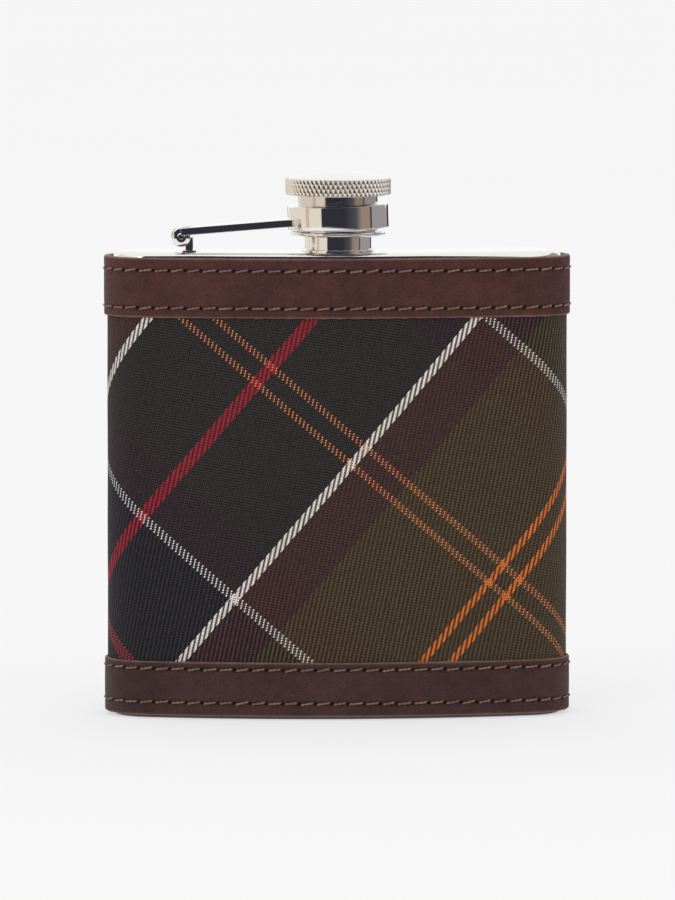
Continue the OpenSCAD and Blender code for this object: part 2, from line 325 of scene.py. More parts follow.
class Graph:
    """A material's node tree, built by calls that take and return sockets or numbers."""

    def __init__(self, name, constants):
        self.material = bpy.data.materials.new(name)
        self.material.use_nodes = True
        self.tree = self.material.node_tree
        self.bsdf = self.tree.nodes["Principled BSDF"]
        for socket, value in constants.items():
            self.bsdf.inputs[socket].default_value = value

    def put(self, socket, value):
        if isinstance(value, bpy.types.NodeSocket):
            self.tree.links.new(value, socket)
        else:
            socket.default_value = value

    def node(self, kind, inputs=None, **settings):
        made = self.tree.nodes.new(kind)
        for key, value in settings.items():
            setattr(made, key, value)
        for key, value in (inputs or {}).items():
            self.put(made.inputs[key], value)
        return made

    def math(self, operation, *values):
        made = self.node("ShaderNodeMath", operation=operation)
        for k, value in enumerate(values):
            self.put(made.inputs[k], value)
        return made.outputs[0]

    def sum(self, *terms):
        """The sum of (socket, factor) pairs and plain numbers."""
        total = 0.0
        for term in terms:
            if isinstance(term, tuple):
                total = self.math("MULTIPLY_ADD", term[0], term[1], total)
            else:
                total = self.math("ADD", total, term)
        return total

    def band(self, value, low, high):
        """0 at low and 1 at high, held outside them."""
        made = self.node(
            "ShaderNodeMapRange", {"Value": value, "From Min": low, "From Max": high}, clamp=True)
        return made.outputs["Result"]

    def between(self, factor, low, high):
        """A value from low, where factor is 0, to high, where it is 1."""
        made = self.node(
            "ShaderNodeMapRange", {"Value": factor, "To Min": low, "To Max": high}, clamp=True)
        return made.outputs["Result"]

    def mix(self, factor, a, b, blend="MIX"):
        made = self.node("ShaderNodeMix", data_type="RGBA", blend_type=blend)
        self.put(made.inputs["Factor"], factor)
        self.put(made.inputs[6], a)
        self.put(made.inputs[7], b)
        return made.outputs[2]

    def ramp(self, factor, stops, interpolation="LINEAR"):
        made = self.node("ShaderNodeValToRGB", {"Fac": factor})
        made.color_ramp.interpolation = interpolation
        elements = made.color_ramp.elements
        while len(elements) < len(stops):
            elements.new(0.5)
        for element, (position, colour) in zip(elements, stops):
            element.position = position
            element.color = colour
        return made.outputs["Color"]

    def place(self, scale=(1, 1, 1)):
        """The point's place in the object's own axes, scaled."""
        made = self.node("ShaderNodeMapping", {"Scale": scale})
        self.put(made.inputs["Vector"], self.node("ShaderNodeTexCoord").outputs["Object"])
        return made.outputs["Vector"]

    def noise(self, scale, detail=2.0, rough=0.5, vector=None, seed=0.0):
        """Noise from 0 to 1; scale is in cells a metre, and seed picks another part of the field."""
        made = self.node(
            "ShaderNodeTexNoise", {"Scale": scale, "Detail": detail, "Roughness": rough, "W": seed},
            noise_dimensions="4D")
        self.put(made.inputs["Vector"], vector or self.place())
        return made.outputs["Fac"]

    def attribute(self, name):
        return self.node("ShaderNodeAttribute", attribute_name=name)

    def bump(self, height, strength, distance):
        made = self.node(
            "ShaderNodeBump", {"Height": height, "Strength": strength, "Distance": distance})
        return made.outputs["Normal"]

    def out(self, socket, value):
        self.put(self.bsdf.inputs[socket], value)


SCRATCH_GREY = srgb(150, 140, 128)
# Painted shade: the near-black colour painted into the leather's needle holes.
HOLE_PAINTED_SHADE = srgb(14, 8, 7)
HOLE_R = 0.38 * MM
HOLE_SHADE_R = 0.6 * MM
CREASE_W = 0.3 * MM
CREASE_SHADE_W = 0.75 * MM


def steel(name, colour, rough, scratch=0.15, grain=None):
    """Polished or brushed steel: faint clouding, fine scratches and a roughness that they vary."""
    g = Graph(name, {"Metallic": 1.0})
    cloud = g.noise(180, 3)
    fine = g.noise(2600, 4, 0.65, g.place(grain or (1, 1, 6)), 3.0)
    mark = g.band(fine, 0.58, 0.72)
    tint = g.mix(cloud, colour, share(colour, 0.94))
    g.out("Base Color", g.mix(g.math("MULTIPLY", mark, 0.12), tint, SCRATCH_GREY))
    g.out("Roughness", g.sum((cloud, rough * 0.5), (mark, rough), rough * 0.6))
    g.out("Normal", g.bump(fine, scratch, 0.02 * MM))
    return g.material


def leather(name, dark, light, edge_colour, rows):
    """Smooth brown leather with a fine grain, pale cut edges, and painted shade: near-black in the
    needle holes and darker along the stitch rows.
    """
    g = Graph(name, {"Specular IOR Level": 0.3, "IOR": 1.45})
    cloud = g.noise(75, 4, 0.6)
    blotch = g.noise(420, 3, 0.6, seed=2.0)
    pores = g.noise(3800, 2, 0.5, seed=8.0)
    cells = g.node("ShaderNodeTexVoronoi", {"Scale": 1900.0}, feature="DISTANCE_TO_EDGE")
    g.put(cells.inputs["Vector"], g.place())
    grain = g.band(cells.outputs["Distance"], 0.0, 0.28)
    cloth = g.node("ShaderNodeSeparateXYZ")
    g.put(cloth.inputs[0], g.attribute("cloth").outputs["Vector"])
    to_hole = g.math("PINGPONG", g.sum(cloth.outputs["X"], AROUND / 2), STITCH_PITCH / 2)
    to_row = g.math("MINIMUM", *[
        g.math("ABSOLUTE", g.math("SUBTRACT", cloth.outputs["Y"], row)) for row in rows])
    reach = g.math("SQRT", g.sum(
        (g.math("MULTIPLY", to_hole, to_hole), 1.0), (g.math("MULTIPLY", to_row, to_row), 1.6)))
    # Painted shade: the needle holes are coloured near-black, fading out to HOLE_SHADE_R.
    hole = g.band(g.sum(reach, (pores, 0.1 * MM)), HOLE_SHADE_R, HOLE_R)
    # Painted shade: the leather colour is darkened along each stitch row's pressed crease (mixed in
    # below).
    crease_painted_shade = g.math("MULTIPLY", g.band(to_row, CREASE_SHADE_W, CREASE_W), 0.4)
    colour = g.mix(g.band(g.sum((cloud, 0.55), (blotch, 0.45)), 0.36, 0.64), dark, light)
    speckle = g.math("MULTIPLY", g.band(pores, 0.48, 0.68), 0.75)
    colour = g.mix(speckle, colour, share(dark, 0.5))
    colour = g.mix(crease_painted_shade, colour, share(dark, 0.62))
    worn = g.math("MULTIPLY", g.attribute("edge").outputs["Fac"], g.between(blotch, 0.25, 1.2))
    colour = g.mix(worn, colour, edge_colour)
    g.out("Base Color", g.mix(hole, colour, HOLE_PAINTED_SHADE))
    g.out("Roughness", g.sum((grain, -0.1), (blotch, 0.2), 0.52))
    height = g.sum((grain, 0.7), (pores, 0.5), (blotch, 0.8))
    g.out("Normal", g.bump(height, 1.0, 0.09 * MM))
    return g.material


# ---------- tartan ----------

WARP_DIRECTION = math.radians(49.0)
WEFT_DIRECTION = math.radians(-40.5)
WARP_PITCH = 0.245 * MM
WEFT_PITCH = 0.455 * MM
TWILL = 4.0
WARP_SHARE = 0.75
HALF_SETT = 65.06 * MM
RED_HALF = 1.22 * MM
WHITE_AT = 25.2 * MM
WHITE_HALF = 0.85 * MM
MAROON_END = 36.5 * MM
ORANGE_FROM_PIVOT = 2.4 * MM
ORANGE_HALF = 0.71 * MM
WARP_PHASE = 57.68 * MM
WEFT_PHASE = -19.7 * MM
WEFT_SETT = 1.033
DRIFT = 0.3 * MM


def sett(g, across, inks):
    """Colour of a thread at a distance across the cloth. The pattern mirrors at red and at the
    middle between the two orange stripes."""
    folded = g.math("DIVIDE", g.math("PINGPONG", across, HALF_SETT), HALF_SETT)
    line = (HALF_SETT - ORANGE_FROM_PIVOT) / HALF_SETT
    stops = [
        (0.0, inks["red"]),
        (RED_HALF / HALF_SETT, inks["black"]),
        ((WHITE_AT - WHITE_HALF) / HALF_SETT, inks["white"]),
        ((WHITE_AT + WHITE_HALF) / HALF_SETT, inks["maroon"]),
        (MAROON_END / HALF_SETT, inks["olive"]),
        (line - ORANGE_HALF / HALF_SETT, inks["orange"]),
        (line + ORANGE_HALF / HALF_SETT, inks["olive"]),
    ]
    return g.ramp(folded, stops, "CONSTANT")


def tartan():
    """Bias-cut tartan in a warp-faced four-end twill: on every pick each warp thread goes over three
    picks and under the fourth, one pick later than its neighbour, which makes the steep ribs."""
    g = Graph("tartan_twill", {
        "Roughness": 0.9, "Specular IOR Level": 0.1, "Sheen Weight": 0.06, "Sheen Roughness": 0.5})
    warp_inks = {
        "red": srgb(141, 35, 49), "black": srgb(45, 42, 45), "white": srgb(204, 195, 189),
        "maroon": srgb(68, 46, 47), "olive": srgb(75, 62, 45), "orange": srgb(192, 102, 45),
    }
    weft_inks = {
        "red": srgb(170, 44, 60), "black": srgb(26, 28, 38), "white": srgb(196, 190, 188),
        "maroon": srgb(56, 38, 40), "olive": srgb(54, 47, 40), "orange": srgb(192, 116, 70),
    }
    cloth = g.node("ShaderNodeSeparateXYZ")
    g.put(cloth.inputs[0], g.attribute("cloth").outputs["Vector"])
    s, z = cloth.outputs["X"], cloth.outputs["Y"]
    wobble = g.math("SUBTRACT", g.noise(160, 2, seed=4.0), 0.5)

    def across(direction, phase):
        return g.sum((s, math.sin(direction)), (z, -math.cos(direction)), (wobble, DRIFT), phase)

    p, q = across(WARP_DIRECTION, WARP_PHASE), across(WEFT_DIRECTION, WEFT_PHASE)
    u, v = g.math("DIVIDE", p, WARP_PITCH), g.math("DIVIDE", q, WEFT_PITCH)
    end, pick = g.math("FLOOR", u), g.math("FLOOR", v)
    warp_colour = sett(g, g.sum((end, WARP_PITCH), 0.5 * WARP_PITCH), warp_inks)
    weft_colour = sett(
        g, g.sum((pick, WEFT_PITCH * WEFT_SETT), 0.5 * WEFT_PITCH * WEFT_SETT), weft_inks)
    phase = g.math("FRACT", g.math("DIVIDE", g.math("SUBTRACT", v, end), TWILL))
    off_end = g.math("ABSOLUTE", g.math("SUBTRACT", g.math("FRACT", u), 0.5))
    off_float = g.math("ABSOLUTE", g.math("SUBTRACT", phase, WARP_SHARE / 2))
    off_dip = g.math("ABSOLUTE", g.math("SUBTRACT", phase, (1 + WARP_SHARE) / 2))
    warp_height = g.math(
        "MULTIPLY", g.band(off_end, 0.62, 0.2), g.band(off_float, WARP_SHARE / 2, WARP_SHARE / 5))
    weft_height = g.math("MULTIPLY", g.band(off_end, 0.75, 0.3), g.band(off_dip, 0.15, 0.06))
    on_top = g.math("LESS_THAN", off_dip, 0.12)
    colour = g.mix(on_top, warp_colour, weft_colour)
    height = g.math("MAXIMUM", warp_height, weft_height)
    fuzz = g.noise(1500, 3, 0.6, seed=6.0)
    # Painted shade and highlight: the colour is darkened in the low gaps between threads and brightened
    # up to 1.55 times on the raised floats; the fuzz varies the tone at random.
    shade = g.math("MULTIPLY", g.between(height, 0.0, 1.55), g.between(fuzz, 0.4, 1.6))
    tone = g.node("ShaderNodeCombineColor", {"Red": shade, "Green": shade, "Blue": shade})
    g.out("Base Color", g.mix(1.0, colour, tone.outputs[0], "MULTIPLY"))
    g.out("Normal", g.bump(g.sum((height, 1.0), (fuzz, 0.3)), 0.6, 0.12 * MM))
    return g.material


def thread_material():
    """Waxed linen thread, a little darker in places."""
    g = Graph("waxed_thread", {"Roughness": 0.6, "Specular IOR Level": 0.25})
    patch = g.noise(500, 3, 0.6)
    fibre = g.noise(5200, 3, 0.6, seed=3.0)
    colour = g.mix(g.band(patch, 0.35, 0.65), srgb(114, 86, 74), srgb(148, 118, 102))
    g.out("Base Color", g.mix(g.band(fibre, 0.45, 0.75), colour, srgb(92, 68, 58)))
    g.out("Normal", g.bump(fibre, 0.5, 0.04 * MM))
    return g.material


def soft_material(name, dark, light, scale, rough):
    """Felt, rubber and other plain soft stuff with a mottled colour and a nap."""
    g = Graph(name, {"Specular IOR Level": 0.2})
    mottle = g.noise(scale, 4, 0.6)
    nap = g.noise(scale * 6, 3, 0.6, seed=2.0)
    g.out("Base Color", g.mix(g.band(mottle, 0.35, 0.65), dark, light))
    g.out("Roughness", g.between(nap, rough - 0.1, rough + 0.1))
    g.out("Normal", g.bump(nap, 0.5, 0.05 * MM))
    return g.material


POLISHED = steel("polished_steel", srgb(243, 242, 241), 0.035, 0.08)
PLATE_STEEL = steel("plate_steel", srgb(244, 243, 240), 0.05, 0.08)
KNURL_STEEL = steel("knurled_steel", srgb(238, 232, 222), 0.24, 0.25)
BODY_STEEL = steel("body_steel", srgb(200, 194, 188), 0.25, 0.4, (1, 1, 8))
# Painted shade: the base plate's steel is coloured dark to stand for the dark reflection of the contact
# shade along the flask's bottom edge.
FOOT_PAINTED_SHADE_STEEL = steel("foot_painted_shade_steel", srgb(86, 83, 90), 0.3, 0.4)
INSERT_STEEL = steel("turned_steel", srgb(226, 224, 221), 0.07, 0.2, (1, 1, 10))
PIN_STEEL = steel("pin_steel", srgb(128, 122, 116), 0.3, 0.4)
EDGE_TAN = srgb(150, 118, 104)
TARTAN = tartan()
THREAD = thread_material()
LINING = soft_material("felt_lining", srgb(40, 34, 30), srgb(62, 54, 47), 900, 0.95)
RUBBER = soft_material("black_rubber", srgb(22, 22, 23), srgb(34, 34, 35), 600, 0.6)


def finish_piece(piece, material, body, slot, *nodes):
    """Gives a piece its material and the body it rides on, and hides the nodes that it stands for; slot
    is not used.
    """
    piece.data.materials.clear()
    piece.data.materials.append(material)
    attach(piece, body)
    if nodes:
        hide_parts(*nodes)
    return piece


def dress_node(name, material):
    """Puts a material on a CAD node that keeps its own shape."""
    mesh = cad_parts[name].data
    if not mesh.materials:
        mesh.materials.append(material)
    for k in range(len(mesh.materials)):
        mesh.materials[k] = material


# ---------- leather bands, cloth and stitches ----------

TOP_Z0, TOP_Z1 = span("top_band")
BOTTOM_Z0, BOTTOM_Z1 = span("bottom_band")
FABRIC_OUT = LEATHER_T - FABRIC_T
STITCH_PITCH = AROUND / STITCHES


def row_z(node):
    low, high = span(node)
    return (low + high) / 2


TOP_ROWS = [row_z("top_band_lower_stitching"), row_z("top_band_upper_stitching")]
BOTTOM_ROWS = [row_z("bottom_band_lower_stitching"), row_z("bottom_band_upper_stitching")]
TOP_LEATHER = leather("top_band_leather", srgb(64, 33, 31), srgb(88, 48, 44), EDGE_TAN, TOP_ROWS)
BOTTOM_LEATHER = leather(
    "bottom_band_leather", srgb(54, 32, 29), srgb(77, 48, 44), EDGE_TAN, BOTTOM_ROWS)


CREASE_DEPTH = 0.1 * MM
CREASE_HALF = 0.55 * MM
HOLE_DEPTH = 0.42 * MM
HOLE_HALF = 0.3 * MM


def band_shape(rows, z0, z1):
    """Presses the stitch rows and needle holes into the leather, and puffs it a little between them."""
    def shape(s, depth, z):
        on_face = depth < 0.2 * MM
        press = np.zeros_like(s)
        to_hole = (s / STITCH_PITCH) % 1.0
        to_hole = np.minimum(to_hole, 1 - to_hole) * STITCH_PITCH
        for row in rows:
            off = z - row
            press += CREASE_DEPTH * np.exp(-(off / CREASE_HALF) ** 2)
            press += HOLE_DEPTH * np.exp(-(off ** 2 + to_hole ** 2) / HOLE_HALF ** 2)
        middle = (z - z0) / (z1 - z0)
        lump = np.sin(s * 211) * np.sin(s * 77 + 1.3) * np.sin(middle * 3.1)
        sag = 0.05 * MM * np.sin(s * 160) + 0.04 * MM * np.cos(2 * math.pi * s / STITCH_PITCH)
        edge = np.abs(2 * middle - 1) ** 8
        return depth + np.where(on_face, press + 0.05 * MM * (1 - lump) * 0.5, 0), z + sag * edge * 0.6
    return shape


def mark_cut_edges(piece, z0, z1, edge_w=0.42 * MM):
    """Marks the cut edges for the leather's colours."""
    co = np.zeros(len(piece.data.attributes["cloth"].data) * 3, np.float32)
    piece.data.attributes["cloth"].data.foreach_get("vector", co)
    _, z, depth = co.reshape(-1, 3).T
    from_end = np.minimum(z - z0, z1 - z)
    edge = np.clip(1 - from_end / edge_w, 0, 1) * 0.8 + (depth > 0.3 * MM) * 0.6
    set_attribute(piece, "edge", np.clip(edge, 0, 1))


def leather_band(name, node, corners, rows, material):
    z0, z1 = span(node)
    profile = densify(rounded_path(corners), 0.25 * MM, 2.5 * MM)
    piece = sweep(name, profile, 14 * STITCHES + 1, band_shape(rows, z0, z1), gap=0.12 * MM)
    mark_cut_edges(piece, z0, z1)
    return finish_piece(piece, material, "flask", "band_leather", node)


EDGE_R = 0.4 * MM
leather_band(
    "top_leather_band", "top_band",
    [
        (0, TOP_Z0, EDGE_R), (0, TOP_Z1, EDGE_R), (LEATHER_T, TOP_Z1, EDGE_R / 2),
        (LEATHER_T, TOP_Z0 + TUCK, 0), (FABRIC_OUT, TOP_Z0 + TUCK, 0), (FABRIC_OUT, TOP_Z0, EDGE_R / 6),
    ],
    TOP_ROWS, TOP_LEATHER)
leather_band(
    "bottom_leather_band", "bottom_band",
    [
        (0, BOTTOM_Z0, EDGE_R), (0, BOTTOM_Z1, EDGE_R), (FABRIC_OUT, BOTTOM_Z1, EDGE_R / 6),
        (FABRIC_OUT, BOTTOM_Z1 - TUCK, 0), (LEATHER_T, BOTTOM_Z1 - TUCK, 0),
        (LEATHER_T, BOTTOM_Z0, EDGE_R / 2),
    ],
    BOTTOM_ROWS, BOTTOM_LEATHER)


CLOTH_STEP = 1.6 * MM


def cloth_shape(s, depth, z):
    """Lets the outer face of the cloth swell and ripple very slightly."""
    ripple = 0.04 * MM * np.sin(s * 130 + z * 90) * np.sin(z * 140 - s * 60)
    return depth + np.where(depth < FABRIC_OUT + FABRIC_T / 2, 0.06 * MM + ripple, 0), z


def tartan_wrap():
    z0, z1 = span("fabric_wrap")
    corners = [
        (FABRIC_OUT, z0, 0.1 * MM), (FABRIC_OUT, z1, 0.1 * MM),
        (LEATHER_T, z1, 0.1 * MM), (LEATHER_T, z0, 0.1 * MM),
    ]
    profile = densify(rounded_path(corners, 3), CLOTH_STEP, CLOTH_STEP)
    piece = sweep("tartan_wrap", profile, 432, cloth_shape, gap=0.1 * MM)
    finish_piece(piece, TARTAN, "flask", "tartan_cloth", "fabric_wrap")


tartan_wrap()


PLIES = 2
PLY_R = 0.135 * MM


def stitch_points(s, z, slope, length, rings=15, sides=6):
    """Two twisted plies of thread that rise out of one needle hole and go down the next."""
    points, faces = [], []
    tau = np.linspace(-1, 1, rings)
    along = tau * length / 2
    rise = 0.16 * MM - 0.62 * MM * np.abs(tau) ** 5
    turn = np.arange(sides) * 2 * math.pi / sides
    for k in range(PLIES):
        twist = tau * 1.6 * math.pi + k * 2 * math.pi / PLIES
        side = 0.095 * MM * np.cos(twist)
        lift = rise - 0.14 * MM + 0.08 * MM * np.sin(twist)
        thick = PLY_R * (1 - 0.25 * np.abs(tau) ** 3)
        a, r = np.meshgrid(turn, thick, indexing="xy")
        up = np.cos(a) * r + side[:, None]
        out = np.sin(a) * r + lift[:, None]
        forward = np.broadcast_to(along[:, None], up.shape)
        at_s = s + forward * math.cos(slope) - up * math.sin(slope)
        at_z = z + forward * math.sin(slope) + up * math.cos(slope)
        x, y, _, _ = plan(at_s % AROUND, -out)
        start = len(points)
        points += np.stack([x, y, at_z], axis=-1).reshape(-1, 3).tolist()
        faces += [[start + i for i in quad] for quad in grid_faces(rings, sides, False, True)]
        faces.append([start + i for i in range(sides)])
        faces.append([start + (rings - 1) * sides + i for i in reversed(range(sides))])
    return points, faces


def stitches(name, node, spots):
    """One piece of thread for each (s, z, slope, length)."""
    points, faces = [], []
    for spot in spots:
        more_points, more_faces = stitch_points(*spot)
        faces += [[len(points) + i for i in face] for face in more_faces]
        points += more_points
    piece = new_object(name, points, faces)
    recalculate_normals(piece)
    finish_piece(piece, THREAD, "flask", "thread", node)


chance = np.random.default_rng(7)


def stitch_row(name, node):
    """A row of running stitches, each a little different."""
    z = row_z(node)
    spots = []
    for k in range(STITCHES):
        drift, lean, stretch = chance.normal(0, 1, 3)
        slope = STITCH_SLOPE + math.radians(2.5) * lean
        length = STITCH_L * (1 + 0.03 * stretch)
        spots.append(((k + 0.5) * STITCH_PITCH, z + 0.04 * MM * drift, slope, length))
    stitches(name, node, spots)


stitch_row("top_upper_stitches", "top_band_upper_stitching")
stitch_row("top_lower_stitches", "top_band_lower_stitching")
stitch_row("bottom_upper_stitches", "bottom_band_upper_stitching")
stitch_row("bottom_lower_stitches", "bottom_band_lower_stitching")

seam_spots = []
for low, high in (BOTTOM_ROWS, TOP_ROWS):
    for k in range(STITCHES_PER_BAND_SEAM):
        seam_z = low + (high - low) * (k + 0.5) / STITCHES_PER_BAND_SEAM
        seam_spots.append((AROUND, seam_z, 0.0, STITCH_L))
stitches("back_seam_stitches", "back_seam_stitching", seam_spots)

# ---------- steel bottle ----------

NECK = Vector((0.0, MID_Y, 0.0))
STEEL_OUT = LEATHER_T + LINING_T
PLATE_Z = span("top_plate")[1]
PLATE_BOTTOM = span("top_plate")[0]
NECK_R = radius("neck_tube")
NECK_TOP = span("neck_tube")[1]
FLAT_RIM = 0.25 * MM
HOLE_SIDES = 96
PLATE_STATIONS = 480


def corner_arc(centre_depth, centre_z, r, first, last, steps=14):
    """Points (depth, z) of a rounded edge whose outside is towards the leather; angles in degrees."""
    angles = np.radians(np.linspace(first, last, steps + 1))
    return [(centre_depth - r * math.cos(a), centre_z + r * math.sin(a)) for a in angles]


def fill_between(piece, z, hole_r):
    """Fills the flat face at height z between the piece's rim there and a round hole at the neck."""
    bm = bmesh.new()
    bm.from_mesh(piece.data)
    rim = [e for e in bm.edges if e.is_boundary and all(abs(v.co.z - z) < SAME_PLACE for v in e.verts)]
    edges = list(rim)
    if hole_r:
        ring = [
            bm.verts.new((hole_r * math.cos(a), MID_Y + hole_r * math.sin(a), z))
            for a in np.arange(HOLE_SIDES) * 2 * math.pi / HOLE_SIDES
        ]
        edges += [bm.edges.new((ring[i - 1], ring[i])) for i in range(HOLE_SIDES)]
    bmesh.ops.triangle_fill(bm, edges=edges, use_beauty=True)
    bm.to_mesh(piece.data)
    bm.free()


def plate(name, profile, hole_r, z_top, z_bottom):
    """A plate with the body's plan: a swept rim, closed with flat faces above and below."""
    s = np.arange(PLATE_STATIONS) * AROUND / PLATE_STATIONS
    depth, z = np.array(profile).T
    s, depth = np.meshgrid(s, depth, indexing="ij")
    z = np.broadcast_to(z, s.shape)
    x, y, _, _ = plan(s, depth)
    points = np.stack([x, y, z], axis=-1).reshape(-1, 3)
    piece = new_object(name, points, grid_faces(PLATE_STATIONS, len(profile), True, False))
    fill_between(piece, z_top, hole_r)
    fill_between(piece, z_bottom, hole_r)
    bm = bmesh.new()
    bm.from_mesh(piece.data)
    if hole_r:
        bmesh.ops.bridge_loops(bm, edges=[e for e in bm.edges if e.is_boundary])
    bmesh.ops.recalc_face_normals(bm, faces=bm.faces)
    bm.to_mesh(piece.data)
    bm.free()
    piece.data.polygons.foreach_set("use_smooth", [True] * len(piece.data.polygons))
    piece.data.set_sharp_from_angle(angle=math.radians(40))
    return piece


def top_plate():
    inner_r = SHOULDER_R - STEEL_T
    corner = STEEL_OUT + SHOULDER_R
    profile = [(corner + FLAT_RIM, PLATE_Z)]
    profile += corner_arc(corner, PLATE_Z - SHOULDER_R, SHOULDER_R, 90, 0)
    profile += [(STEEL_OUT, PLATE_BOTTOM), (STEEL_OUT + STEEL_T, PLATE_BOTTOM)]
    profile += corner_arc(corner, PLATE_Z - SHOULDER_R, inner_r, 0, 90)
    profile += [(corner + FLAT_RIM, PLATE_Z - STEEL_T)]
    piece = plate("rounded_top_plate", profile, NECK_R, PLATE_Z, PLATE_Z - STEEL_T)
    finish_piece(piece, PLATE_STEEL, "flask", "plate_steel", "top_plate")


def base_plate():
    z0, z1 = span("base_plate")
    r = (z1 - z0) / 2
    edge = STEEL_OUT + FOOT_INSET
    profile = [(edge + r + FLAT_RIM, z1), (edge, z1)]
    profile += corner_arc(edge + r, z0 + r, r, 0, -90)
    profile += [(edge + r + FLAT_RIM, z0)]
    piece = plate("rounded_base_plate", profile, None, z1, z0)
    # Painted shade: the foot gets the dark steel that stands for the shade along the bottom edge.
    finish_piece(piece, FOOT_PAINTED_SHADE_STEEL, "flask", "body_steel", "base_plate")


top_plate()
base_plate()

NECK_BORE_R = 5.6 * MM
THREAD_FOOT_R = 6.2 * MM
THREAD_CREST_R = 6.62 * MM
NECK_PLAIN_H = 3.2 * MM


def neck_tube():
    """The neck with its helical thread, a rounded rim and a plain part below the thread."""
    low = span("neck_tube")[0]
    plain_top = PLATE_Z + NECK_PLAIN_H
    profile = rounded_path([
        (NECK_BORE_R, low, 0), (NECK_R, low, 0), (NECK_R, plain_top, 0.15 * MM),
        (THREAD_FOOT_R, plain_top + 0.2 * MM, 0.1 * MM), (THREAD_FOOT_R, NECK_TOP, 0.25 * MM),
        (NECK_BORE_R, NECK_TOP, 0.25 * MM),
    ])
    tube = lathe("threaded_neck", profile, NECK)
    points, faces = helix_ridge(
        THREAD_FOOT_R, THREAD_CREST_R, plain_top + 0.9 * MM, NECK_TOP - 0.8 * MM, THREAD_PITCH,
        1.15 * MM, 0.45 * MM)
    ridge = new_object("ridge", points + np.array(NECK), faces, 30)
    recalculate_normals(ridge)
    finish_piece(join("threaded_neck", [tube, ridge]), POLISHED, "flask", "polished_steel", "neck_tube")


def neck_base_ring():
    z0, z1 = span("neck_base_ring")
    r = radius("neck_base_ring")
    profile = rounded_path([
        (NECK_R - 0.1 * MM, z0, 0), (r, z0, 0.05 * MM), (r - 0.12 * MM, z1 - 0.12 * MM, 0.2 * MM),
        (NECK_R - 0.1 * MM, z1, 0)])
    ring = lathe("soldered_neck_ring", profile, NECK)
    finish_piece(ring, POLISHED, "flask", "polished_steel", "neck_base_ring")


neck_tube()
neck_base_ring()

# ---------- hinge ----------

HINGE = Vector((
    (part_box("hinge_pin")[0].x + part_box("hinge_pin")[1].x) / 2, MID_Y,
    (span("hinge_pin")[0] + span("hinge_pin")[1]) / 2))
KNUCKLE_R = HINGE.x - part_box("hinge_arm")[0].x
PIN_R = radius("hinge_pin")
ARM_LOW, ARM_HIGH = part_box("hinge_arm")
HALF_HINGE = 3.75 * MM
BRACKET_KNUCKLE_W = 2.3 * MM
KNUCKLE_GAP = 0.1 * MM
PIN_GAP = 0.05 * MM
ARM_T = 1.5 * MM
ARM_RISE = math.radians(4.5)
ARM_FLARE = 0.85 * MM
ARM_FLARE_L = 4 * MM
RING_R = radius("captive_ring")
ALONG_Y = Matrix.Rotation(math.radians(90), 4, "X")


def knuckle(name, middle_y, width, bore_r, dome):
    """A hinge knuckle along Y with eased ends; dome is how far its outer faces bevel back."""
    half = width / 2
    wide = KNUCKLE_R - bore_r
    profile = rounded_path([
        (bore_r, -half + 0.02 * MM, 0.03 * MM), (bore_r + 0.25 * wide, -half, 0.12 * MM),
        (KNUCKLE_R, -half + dome, 0.14 * MM), (KNUCKLE_R, half - dome, 0.14 * MM),
        (bore_r + 0.25 * wide, half, 0.12 * MM), (bore_r, half - 0.02 * MM, 0.03 * MM),
    ], 4)
    centre = Vector((HINGE.x, middle_y, HINGE.z))
    return lathe(name, profile, centre, 72, 35, ALONG_Y)


def hinge_arm():
    """The arm: a slim rising strip that flares into the ring, and the two knuckles at its end."""
    width = HALF_HINGE - BRACKET_KNUCKLE_W / 2 - KNUCKLE_GAP
    middle = HALF_HINGE - width / 2
    slot_half = HALF_HINGE - width
    reach = -HINGE.x - RING_R + 1.6 * MM
    notch = KNUCKLE_R + 0.3 * MM
    flare = [
        (reach - ARM_FLARE_L * (1 - t), HALF_HINGE + ARM_FLARE * t * t) for t in np.linspace(0, 1, 6)]
    near_side = [(x, -y) for x, y in flare]
    outline = (
        [(0, -HALF_HINGE)] + near_side + flare[::-1]
        + [(0, HALF_HINGE), (0, slot_half), (notch, slot_half), (notch, -slot_half), (0, -slot_half)])
    strip = rounded_block("strip", outline, KNUCKLE_R - ARM_T, KNUCKLE_R, 0.1 * MM)
    strip.data.transform(Matrix.Translation(HINGE) @ Matrix.Rotation(-ARM_RISE, 4, "Y"))
    knuckles = [
        knuckle("knuckle", MID_Y + side * middle, width, PIN_R + PIN_GAP, 0.28 * MM)
        for side in (-1, 1)]
    piece = join("hinge_arm_strip", [strip, *knuckles])
    finish_piece(piece, POLISHED, "arm", "polished_steel", "hinge_arm")


def hinge_bracket():
    """The bracket: a small foot on the plate, a post and the middle knuckle."""
    low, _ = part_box("hinge_bracket")
    post_x = HINGE.x + 1.65 * MM

    def block(name, half_x, half_y, z0, z1, r):
        corners = [(-half_x, -half_y), (half_x, -half_y), (half_x, half_y), (-half_x, half_y)]
        return rounded_block(name, [(post_x + x, MID_Y + y) for x, y in corners], z0, z1, r)

    foot = block("foot", 1.4 * MM, 2.2 * MM, low.z, low.z + 0.3 * MM, 0.1 * MM)
    post = block(
        "post", 0.8 * MM, BRACKET_KNUCKLE_W / 2, low.z + 0.1 * MM, HINGE.z - 0.05 * MM, 0.2 * MM)
    eye = knuckle("eye", MID_Y, BRACKET_KNUCKLE_W, PIN_R, 0.08 * MM)
    piece = join("hinge_bracket_post", [foot, post, eye])
    finish_piece(piece, POLISHED, "flask", "polished_steel", "hinge_bracket")


